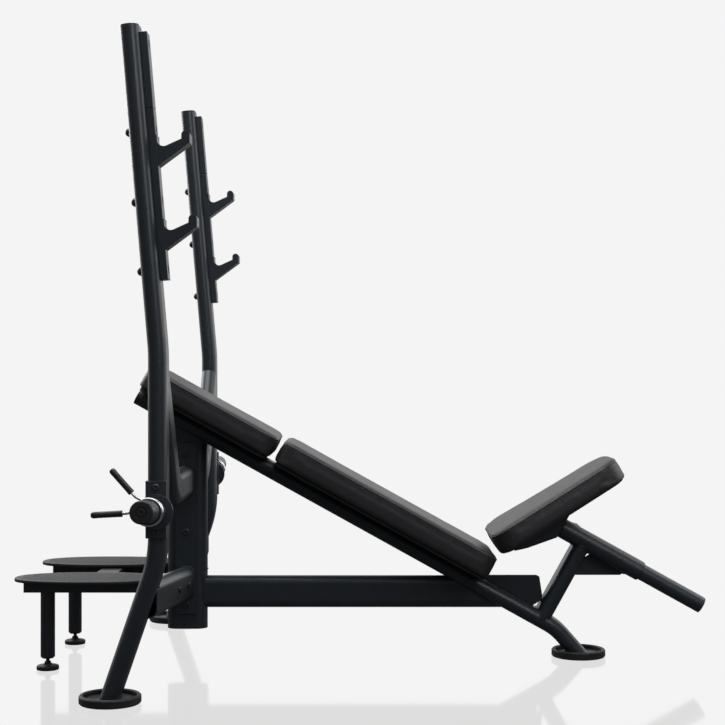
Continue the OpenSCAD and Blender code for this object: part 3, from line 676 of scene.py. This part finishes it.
def swollen(obj, floorLevel):
    # Lets the vinyl swell a little over its foam, held where it is stapled under the board
    held = obj.vertex_groups.new(name="stapled")
    held.add([v.index for v in obj.data.vertices if v.co.z < floorLevel + 0.006], 1.0, "REPLACE")
    before = [v.co.copy() for v in obj.data.vertices]
    cloth = obj.modifiers.new("stretch", "CLOTH")
    cloth.settings.quality = 6
    cloth.settings.mass = 0.4
    cloth.settings.tension_stiffness = 18
    cloth.settings.compression_stiffness = 18
    cloth.settings.shear_stiffness = 12
    cloth.settings.bending_stiffness = 1.5
    cloth.settings.use_pressure = True
    cloth.settings.uniform_pressure_force = padMaking["pressure"]
    cloth.settings.vertex_group_mass = "stapled"
    cloth.settings.effector_weights.gravity = 0
    for step in range(1, padMaking["frames"] + 1):
        scene.frame_set(step)
    moved = bakedMesh(obj)
    obj.modifiers.clear()
    most = padMaking["mostSwell"]
    for vert, old, new in zip(obj.data.vertices, before, moved.vertices):
        shift = new.co - old
        if shift.length > most:
            shift *= most / shift.length
        vert.co = old + shift
    bpy.data.meshes.remove(moved)
    obj.vertex_groups.clear()
    scene.frame_set(1)


def smoothedTwice(obj):
    relax = obj.modifiers.new("relax", "SMOOTH")
    relax.factor = 0.5
    relax.iterations = 3
    finer = obj.modifiers.new("finer", "SUBSURF")
    finer.levels = 1
    finer.render_levels = 1
    mesh = bakedMesh(obj)
    obj.modifiers.clear()
    obj.data = mesh


def levelOutline(mesh, height, spacing):
    # The closed line where a level plane cuts the pad
    bm = bmesh.new()
    bm.from_mesh(mesh)
    cut = bmesh.ops.bisect_plane(bm, geom=bm.verts[:] + bm.edges[:] + bm.faces[:], dist=1e-7,
                                 plane_co=(0, 0, height), plane_no=(0, 0, 1))
    nextTo = {}
    for part in cut["geom_cut"]:
        if isinstance(part, bmesh.types.BMEdge):
            for a, b in (part.verts, reversed(part.verts)):
                nextTo.setdefault(a, []).append(b)
    first = max(nextTo, key=lambda v: v.co.x)
    path = [first]
    current = nextTo[first][0]
    while current is not first:
        onward = [v for v in nextTo[current] if v is not path[-1]]
        path.append(current)
        current = onward[0]
    points = [v.co.copy() for v in path]
    bm.free()
    return evenly(points, spacing)


seams = {
    "weltRadius": 0.0017,
    "weltBelowTop": 0.0085,
    "stitchPitch": 0.0075,
    "stitchLength": 0.0046,
    "stitchRadius": 0.00045,
    "stitchBelowWelt": 0.0042,
}


def outwardAt(points, i):
    along = points[(i + 1) % len(points)] - points[i - 1]
    along.z = 0
    along.normalize()
    side = Vector((along.y, -along.x, 0))
    return along, side if side.dot(points[i]) > 0 else -side


def stitchRow(points, standOff):
    # One short thread for each stitch, lying along the line of points
    stitch = bmesh.new()
    bmesh.ops.create_cone(stitch, cap_ends=True, segments=6, radius1=seams["stitchRadius"],
                          radius2=seams["stitchRadius"], depth=seams["stitchLength"])
    bm = bmesh.new()
    for i, point in enumerate(points):
        along, side = outwardAt(points, i)
        addCopy(bm, stitch, turned(point + side * standOff, side, along))
    stitch.free()
    return bm


def makePad(name, look):
    place, size = slabFrame(look["node"], look["angle"])
    obj = meshObject(name, padBlank(size, look))
    remeshed(obj, padMaking["voxel"])
    swollen(obj, -size.z / 2)
    smoothedTwice(obj)
    top = max(v.co.z for v in obj.data.vertices)
    weltLine = levelOutline(obj.data, top - seams["weltBelowTop"], 0.004)
    stitchLine = levelOutline(obj.data, top - seams["weltBelowTop"] - seams["stitchBelowWelt"],
                              seams["stitchPitch"])
    welt = wireMesh(weltLine, seams["weltRadius"], closed=True, resolution=2)
    threads = stitchRow(stitchLine, 0.00015)
    obj.data.transform(place)
    finishPiece(obj, "padVinyl", look["body"], [look["node"]], math.radians(180))
    welt.transform(place)
    wirePiece(name + "Welt", [welt], "padVinyl", look["body"])
    bmesh.ops.transform(threads, matrix=place, verts=threads.verts)
    finishPiece(meshObject(name + "Stitches", threads), "seamThread", look["body"])
    print("pad", name, len(obj.data.polygons), "faces")


for name, look in pads.items():
    makePad(name, look)


# Spring collars: a wound coil with one standing handle, and a lever ring with the other

collarMaking = {
    "wire": 0.0032,          # wire radius
    "coilRadius": 0.0285,
    "turns": 2,
    "stepsPerTurn": 56,
    "fixedAngle": 132,
    "leverAngle": 183,
    "gripFrom": 0.056,
    "gripLength": 0.068,
    "gripRadius": 0.0072,
    "ribs": 11,
}


def hornFrame(side):
    # Point on the horn's axis in the middle of the lever ring, and the way outwards
    joint = next(j for j in frame["joints"] if j["name"] == side + "_lever_squeeze")
    spot = Vector(joint["pos_m"])
    outward = next(Vector(j["axis"]) for j in frame["joints"] if j["name"] == side + "_collar_slide")
    return spot, outward.normalized()


def handlePath(spot, outward, degrees, along, coilEnd):
    # The wire leaves its coil, turns outwards and runs straight to the end of the grip
    rise = Vector((0, 0, 1)) - outward.z * outward
    rise.normalize()
    front = Vector((1, 0, 0))

    def polar(angle, radius):
        a = math.radians(angle)
        return spot + outward * along + front * math.cos(a) * radius + rise * math.sin(a) * radius

    bend = [polar(degrees - 22 * (1 - t) ** 1.6, coilEnd + 0.019 * t ** 1.8)
            for t in [k / 10 for k in range(11)]]
    far = collarMaking["gripFrom"] + 0.01
    return bend + [polar(degrees, far)]


def ringPath(spot, outward, fromDegrees, toDegrees, startAlong, endAlong):
    rise = (Vector((0, 0, 1)) - outward.z * outward).normalized()
    front = Vector((1, 0, 0))
    count = int(abs(toDegrees - fromDegrees) / 360 * collarMaking["stepsPerTurn"])
    points = []
    for i in range(count + 1):
        t = i / count
        a = math.radians(fromDegrees + (toDegrees - fromDegrees) * t)
        radial = front * math.cos(a) + rise * math.sin(a)
        points.append(spot + outward * (startAlong + (endAlong - startAlong) * t)
                      + radial * collarMaking["coilRadius"])
    return points


def gripShape():
    # Moulded sleeve with a plain nose and fine ribs
    r = collarMaking["gripRadius"]
    length = collarMaking["gripLength"]
    ribs = collarMaking["ribs"]
    wire = collarMaking["wire"]
    profile = [(wire, 0), (r - 0.001, 0), (r, 0.001), (r, 0.006)]
    pitch = (length - 0.02) / ribs
    for i in range(ribs):
        start = 0.008 + i * pitch
        profile += [(r, start), (r - 0.0006, start + pitch * 0.14), (r - 0.0006, start + pitch * 0.36),
                    (r, start + pitch * 0.5)]
    profile += [(r, length - 0.005), (r - 0.0012, length - 0.0015), (r - 0.003, length), (0, length)]
    return spunShape(profile, 28)


def makeCollar(side):
    spot, outward = hornFrame(side)
    m = collarMaking
    wire = m["wire"]
    rise = (Vector((0, 0, 1)) - outward.z * outward).normalized()
    coilEnd = -2 * wire - 0.0005
    coil = ringPath(spot, outward, m["fixedAngle"] - 22 - 360 * m["turns"], m["fixedAngle"] - 22,
                    coilEnd - 2 * wire * m["turns"], coilEnd)
    coil += handlePath(spot, outward, m["fixedAngle"], coilEnd, m["coilRadius"])[1:]
    wirePiece(side + "CollarCoil", [wireMesh(coil, wire)], "springChrome", side + "_collar",
              ["collar_" + side])
    ring = ringPath(spot, outward, m["leverAngle"] - 22 - 340, m["leverAngle"] - 22, 0, 0)
    ring += handlePath(spot, outward, m["leverAngle"], 0, m["coilRadius"])[1:]
    wirePiece(side + "CollarLever", [wireMesh(ring, wire)], "springChrome", side + "_lever",
              ["collar_lever_" + side])
    for name, degrees, along, body, node in (
            ("FixedGrip", m["fixedAngle"], coilEnd, "_collar", "collar_grip_"),
            ("LeverGrip", m["leverAngle"], 0, "_lever", "lever_grip_")):
        a = math.radians(degrees)
        direction = Vector((1, 0, 0)) * math.cos(a) + rise * math.sin(a)
        bm = gripShape()
        place = turned(spot + outward * along + direction * m["gripFrom"], outward, direction)
        bmesh.ops.transform(bm, matrix=place, verts=bm.verts)
        finishPiece(meshObject(side + name, bm), "blackPlastic", side + body, [node + side])


for side in ("left", "right"):
    makeCollar(side)
print("spring collars done")


# Weld beads: a tube's outline is cast along the tube on to the metal it meets

welding = {
    "spacing": 0.0035,
    "radius": 0.0021,
    "ripple": 0.14,      # share of the radius that comes and goes along the bead
    "lift": 0.0003,
    "reach": 0.17,
    "mostStep": 0.013,   # neighbours farther apart than this are not joined
    "sides": 2,
}

inclineDown = -slideAxis
inclineOff = Vector((math.sin(inclineAngle), 0, math.cos(inclineAngle)))
inclineTop = Vector((-0.598, 0, 0.684))    # upper end of the back rail, on its middle line


def onIncline(u, n):
    return inclineTop + inclineDown * u + inclineOff * n


def barOutline(width, depth, corner):
    points = []
    for sx, sy, start in ((1, 1, 0), (-1, 1, 90), (-1, -1, 180), (1, -1, 270)):
        middle = Vector((sx * (width / 2 - corner), sy * (depth / 2 - corner), 0))
        for k in range(7):
            a = math.radians(start + 15 * k)
            points.append(middle + corner * Vector((math.cos(a), math.sin(a), 0)))
    return evenly(points, welding["spacing"])


def beadRuns(outline, place, bed):
    # Runs of points where the cast outline lands on the metal, and whether each run closes
    along = (place.to_3x3() @ Vector((0, 0, 1))).normalized()
    landed = []
    for point in outline:
        spot, normal, index, distance = bed.ray_cast(place @ point, along, welding["reach"])
        if spot is not None:
            spot = spot - welding["lift"] * math.copysign(1, normal.dot(along)) * normal
        landed.append(spot)
    count = len(landed)
    breaks = [i for i in range(count) if landed[i] is None or landed[i - 1] is None
              or (landed[i] - landed[i - 1]).length > welding["mostStep"]]
    if not breaks:
        return [(landed, True)]
    runs = [[]]
    for k in range(count):
        i = (breaks[0] + k) % count
        if i in breaks:
            runs.append([])
        if landed[i] is not None:
            runs[-1].append(landed[i])
    return [(run, False) for run in runs if len(run) > 3]


def beadWires(joint):
    bm = bmesh.new()
    for name in joint["bed"]:
        bm.from_mesh(nodes[name].data)
    bed = BVHTree.FromBMesh(bm)
    bm.free()
    place = turned(joint["from"], joint["across"], joint["along"])
    wires = []
    for run, closed in beadRuns(barOutline(*joint["bar"]), place, bed):
        radii = [1 + welding["ripple"] * math.sin(2.4 * i) + 0.06 * math.sin(0.63 * i)
                 for i in range(len(run))]
        wires.append(wireMesh(run, welding["radius"], closed, welding["sides"], radii))
    return wires


# Outlines are width, depth and corner radius; places are on the tubes' middle lines
weldSpots = {
    "tube": (0.042, 0.084, 0.018),
    "tower": (0.105, 0.056, 0.026),
    "barrel": (0.0235, 0.0235, 0.0117),
    "deckLeg": (0.0355, 0.0355, 0.0177),
    "towerX": -0.472,
    "beamStart": (-0.36, 0.06),       # X of the cast, and its height over the beam's underside
    "towerCast": 0.45,
    "postU": 1.207,                   # distance down the incline
    "postCasts": (0.1, 0.14),         # distances off the rail
    "footX": 0.556,
    "footCast": 0.06,
    "legFoot": (-0.582, 0.564),
    "crossRoot": (0.036, 0.199),      # Y and Z where a cross tube leaves the tower's flange
    "crossRun": (-0.022, 0.486, 0.031),
    "crossCasts": (0.06, 0.4),
    "deckLegSpot": (-0.804, 0.179, 0.16),
}
sideNames = {1: "left", -1: "right"} if boxOf("upright_left")[2].y > 0 else {1: "right", -1: "left"}


def weldRow(outline, start, across, along, bed):
    return {"bar": weldSpots[outline], "from": start, "across": across, "along": along, "bed": [bed]}


def frameWelds():
    # Every welded joint: the bar's outline, where it starts, the way it is cast, and on to what
    w = weldSpots
    frontward = (1, 0, 0)
    down = (0, 0, -1)
    beamX, beamRise = w["beamStart"]
    barrel = boxOf("pin_barrel")[2]
    lowCast, highCast = w["postCasts"]
    joints = [
        weldRow("tube", (beamX, 0, boxOf("main_beam")[0].z + beamRise), (0, 1, 0), (-1, 0, 0),
                "tower_column"),
        weldRow("tower", (w["towerX"], 0, w["towerCast"]), frontward, (0, 0, 1), "back_rail"),
        weldRow("tube", onIncline(w["postU"], lowCast), inclineDown, -inclineOff, "back_rail"),
        weldRow("tube", onIncline(w["postU"], highCast), inclineDown, inclineOff, "seat_sleeve"),
        weldRow("tube", (w["footX"], 0, w["footCast"]), frontward, down, "foot_plates"),
        weldRow("barrel", barrel + Vector((0, 0.004, 0)), inclineDown,
                (0, -1 if barrel.y > 0 else 1, 0), "seat_sleeve"),
    ]
    footX, footY = w["legFoot"]
    rootY, rootZ = w["crossRoot"]
    runX, runY, runZ = w["crossRun"]
    legX, legY, legZ = w["deckLegSpot"]
    for sign, side in sideNames.items():
        cross = Vector((runX, sign * runY, runZ)).normalized()
        spot = Vector((w["towerX"], sign * rootY, rootZ))
        inCast, outCast = w["crossCasts"]
        joints += [
            weldRow("tube", (footX, sign * footY, w["footCast"]), frontward, down, "foot_plates"),
            weldRow("tube", spot + cross * inCast, frontward, -cross, "flange_" + side),
            weldRow("tube", spot + cross * outCast, frontward, cross, "upright_" + side),
            weldRow("deckLeg", (legX, sign * legY, legZ), frontward, (0, 0, 1), "deck_frame"),
        ]
    return joints


welds = [wire for joint in frameWelds() for wire in beadWires(joint)]
wirePiece("weldBeads", welds, "powderCoat", "frame")
print("weld beads done", len(welds))


# Platform mats: moulded rubber with a soft edge and raised studs

matting = {
    "power": 2.3,          # 2 would be an ellipse
    "edge": 0.0022,
    "border": 0.014,       # plain rim round the studded field
    "studPitch": 0.0125,
    "studRadius": 0.0036,
    "studHeight": 0.0009,
}


def makeDeck(side):
    node = "deck_" + side
    low, high, middle = boxOf(node)
    half = (high - low) / 2
    m = matting
    fullness = 2 / m["power"]
    bm = bmesh.new()
    ring = []
    for k in range(120):
        a = 2 * math.pi * k / 120
        c, s = math.cos(a), math.sin(a)
        ring.append(bm.verts.new((half.x * math.copysign(abs(c) ** fullness, c),
                                  half.y * math.copysign(abs(s) ** fullness, s), -half.z)))
    base = bm.faces.new(ring)
    wall = bmesh.ops.extrude_face_region(bm, geom=[base])
    raised = [v for v in wall["geom"] if isinstance(v, bmesh.types.BMVert)]
    bmesh.ops.translate(bm, vec=(0, 0, 2 * half.z - m["studHeight"]), verts=raised)
    rims = [e for e in bm.edges if abs(e.verts[0].co.z - e.verts[1].co.z) < 1e-6]
    bmesh.ops.bevel(bm, geom=rims, offset=m["edge"], affect="EDGES", segments=4, profile=0.5, material=-1)
    cleanShell(bm)
    stud = bmesh.new()
    bmesh.ops.create_cone(stud, cap_ends=True, segments=10, radius1=m["studRadius"],
                          radius2=m["studRadius"] * 0.72, depth=m["studHeight"] * 2)
    rows = int(half.y / (m["studPitch"] * 0.866))
    for row in range(-rows, rows + 1):
        y = row * m["studPitch"] * 0.866
        for column in range(-40, 41):
            x = (column + (row % 2) / 2) * m["studPitch"]
            fill = (abs(x / (half.x - m["border"])) ** m["power"]
                    + abs(y / (half.y - m["border"])) ** m["power"])
            if fill < 1:
                addCopy(bm, stud, Matrix.Translation((x, y, half.z - m["studHeight"])))
    stud.free()
    bmesh.ops.translate(bm, vec=middle, verts=bm.verts)
    finishPiece(meshObject(side + "DeckMat", bm), "footRubber", bodyOf(node), [node])


for side in ("left", "right"):
    makeDeck(side)
print("platform mats done")


# Levelling feet: moulded pads, and studs with a cut thread and a hex

levelling = {
    "pitch": 0.0015,
    "cut": 0.0009,
    "hexWidth": 0.017,
    "hexHeight": 0.005,
    "scallops": 12,
    "scallopDepth": 0.0012,
    "scallopBand": (0.001, 0.0105),   # heights between which the pad's rim is scalloped
    "scallopRim": 0.004,
    "neck": [(0.0135, 0.0124), (0.0112, 0.0130), (0.0103, 0.0150), (0.0094, 0.016), (0, 0.016)],
}


def threadedStud(radius, length):
    # The turns of the thread are one helix joined to itself row by row
    m = levelling
    steps = 28
    bm = bmesh.new()
    rows = []
    count = int(length / m["pitch"] * 4)
    for k in range(count + 1):
        row = []
        for i in range(steps):
            a = 2 * math.pi * i / steps
            phase = (k / 4 - i / steps) % 1
            depth = m["cut"] * abs(2 * phase - 1)
            ends = min(1, k / 4, (count - k) / 4)
            r = radius - depth - (1 - ends) * 0.0008
            row.append(bm.verts.new((r * math.cos(a), r * math.sin(a), length * k / count)))
        rows.append(row)
    for low, high in zip(rows, rows[1:]):
        for i in range(steps):
            j = (i + 1) % steps
            bm.faces.new((low[i], low[j], high[j], high[i]))
    bm.faces.new(list(reversed(rows[0])))
    bm.faces.new(rows[-1])
    return bm


def hexNut(width, height):
    bm = bmesh.new()
    bmesh.ops.create_cone(bm, cap_ends=True, segments=6, radius1=width / 2, radius2=width / 2, depth=height)
    bmesh.ops.bevel(bm, geom=bm.edges[:], offset=0.0006, affect="EDGES", segments=2, profile=0.5, material=-1)
    return bm


def makeLeveller(side):
    m = levelling
    low, high, middle = boxOf("leveller_stud_" + side)
    bm = threadedStud(0.005, high.z - low.z)
    addCopy(bm, hexNut(m["hexWidth"], m["hexHeight"]), Matrix.Translation((0, 0, m["hexHeight"] / 2)))
    bmesh.ops.translate(bm, vec=(middle.x, middle.y, low.z), verts=bm.verts)
    finishPiece(meshObject(side + "LevelStud", bm), "blackFastener", bodyOf("leveller_stud_" + side),
                ["leveller_stud_" + side], math.radians(30))
    low, high, middle = boxOf("leveller_pad_" + side)
    r = (high.x - low.x) / 2
    profile = [(0, 0), (r - 0.0022, 0), (r - 0.0008, 0.0005), (r, 0.0018), (r, 0.0078), (r - 0.0006, 0.0096),
               (r - 0.0026, 0.0110), (r - 0.006, 0.0118)] + m["neck"]
    bm = spunShape(profile, 96)
    bandLow, bandHigh = m["scallopBand"]
    for vert in bm.verts:
        spread = Vector((vert.co.x, vert.co.y))
        if spread.length > r - m["scallopRim"] and bandLow < vert.co.z < bandHigh:
            wave = max(0, math.cos(m["scallops"] * math.atan2(spread.y, spread.x))) ** 3
            vert.co.x *= 1 - m["scallopDepth"] * wave / r
            vert.co.y *= 1 - m["scallopDepth"] * wave / r
    bmesh.ops.translate(bm, vec=(middle.x, middle.y, low.z), verts=bm.verts)
    node = "leveller_pad_" + side
    finishPiece(meshObject(side + "LevelPad", bm), "footRubber", bodyOf(node), [node])


for side in ("left", "right"):
    makeLeveller(side)
print("levelling feet done")


# Pull knob of the seat's plunger

knobMaking = {
    "head": 0.027,
    "flutes": 16,
    "fluteDepth": 0.0013,
    "fluteInner": 0.0232,   # radius beyond which the knob is fluted
    "pin": 0.006,
}


def makeKnob():
    # Plunger and a fluted knob with a dished face, turned about the plunger's axis
    low, high, middle = boxOf("pin_knob")
    axis = next(Vector(j["axis"]) for j in frame["joints"] if j["name"] == "pin_pull").normalized()
    length = high.y - low.y
    m = knobMaking
    head = m["head"]
    stem = length - head
    profile = [(0, 0), (m["pin"] - 0.001, 0), (m["pin"], 0.001), (m["pin"], stem), (0.0130, stem),
               (0.0145, stem + 0.0006), (0.0225, stem + 0.0048), (0.0262, stem + 0.0102),
               (0.0270, stem + 0.0125), (0.0270, stem + 0.0198), (0.0258, stem + 0.0228),
               (0.0235, stem + 0.0256), (0.0210, stem + head), (0.0170, stem + head - 0.0006),
               (0.0120, stem + head - 0.0020), (0, stem + head - 0.0024)]
    bm = spunShape(profile, 128)
    for vert in bm.verts:
        spread = Vector((vert.co.x, vert.co.y))
        if spread.length > m["fluteInner"] and vert.co.z > stem + 0.003:
            wave = 0.5 - 0.5 * math.cos(m["flutes"] * math.atan2(spread.y, spread.x))
            shrink = 1 - m["fluteDepth"] * wave ** 3 / spread.length
            vert.co.x *= shrink
            vert.co.y *= shrink
    tip = Vector((middle.x, high.y if axis.y < 0 else low.y, middle.z))
    bmesh.ops.transform(bm, matrix=turned(tip, inclineDown, axis), verts=bm.verts)
    finishPiece(meshObject("pullKnob", bm), "blackPlastic", bodyOf("pin_knob"), ["pin_knob"])


makeKnob()
print("pull knob done")
